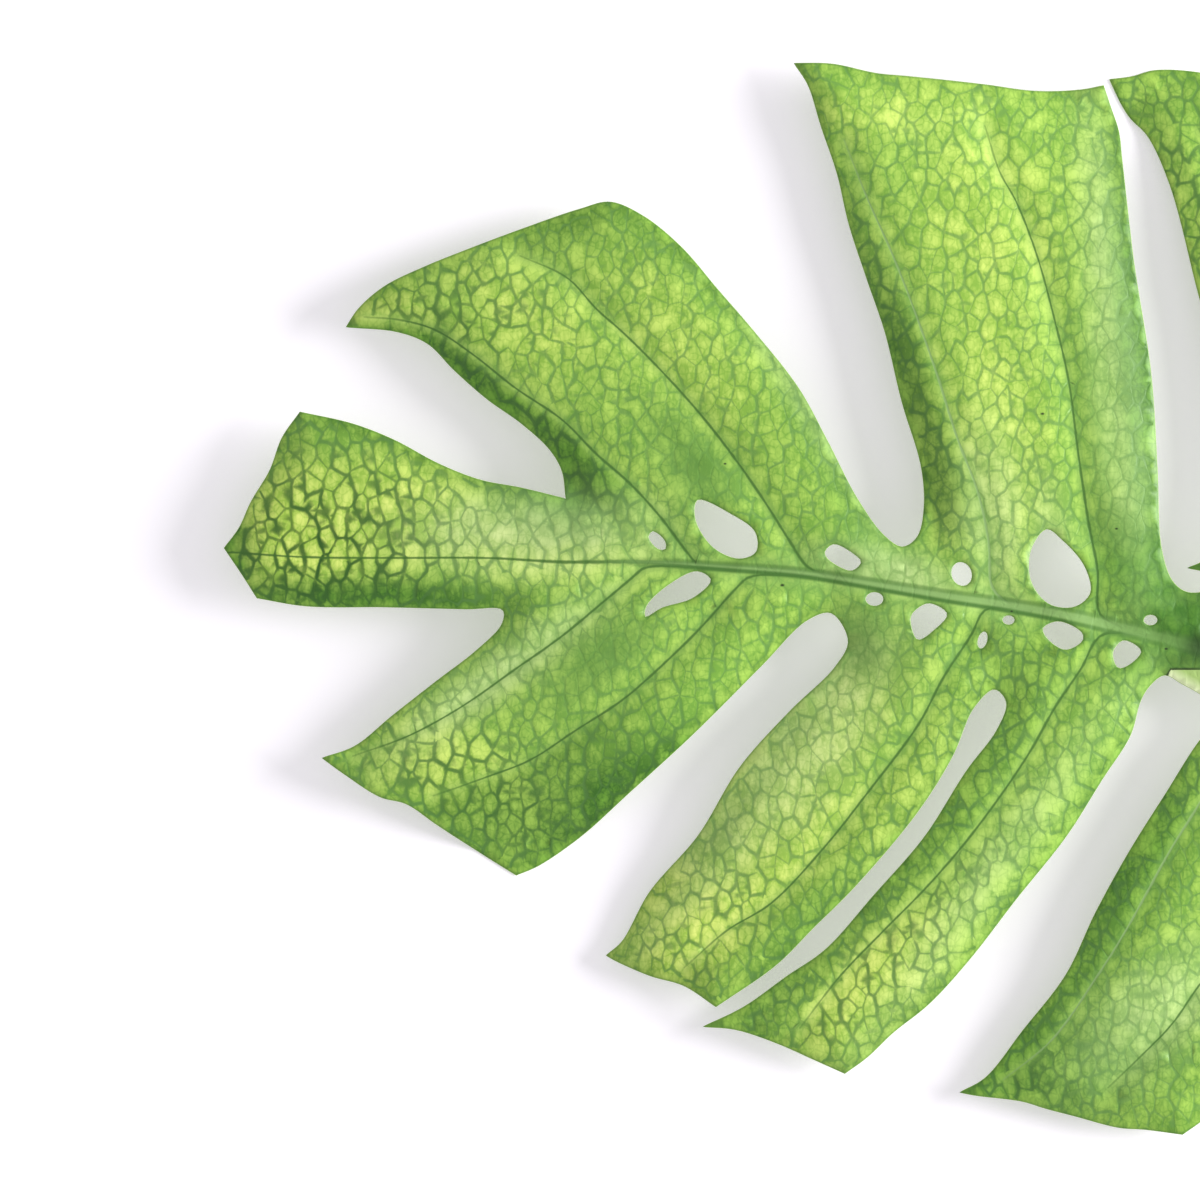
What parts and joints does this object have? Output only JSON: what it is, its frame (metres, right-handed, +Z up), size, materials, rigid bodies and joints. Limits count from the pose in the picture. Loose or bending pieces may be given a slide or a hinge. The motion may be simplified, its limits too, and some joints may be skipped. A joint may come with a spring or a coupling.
{
  "type": "amydrium leaf",
  "caption": "Deeply cut, pierced evergreen climber leaf, lying upper face up: long lobes with hooked tips, holes beside the midrib, ribs below and a short cut stalk.",
  "frame": {"origin": "middle of the leaf's box in plan, on the surface that it lies on", "axes": "+X along the leaf from its tip to the cut stalk, +Y across the blade, +Z up through the upper face"},
  "size_m": [0.3466, 0.268, 0.0172],
  "materials": {
    "fresh_leaf": "satin"
  },
  "bodies": {
    "root": {"leaf": "fresh_leaf"}
  },
  "joints": []
}
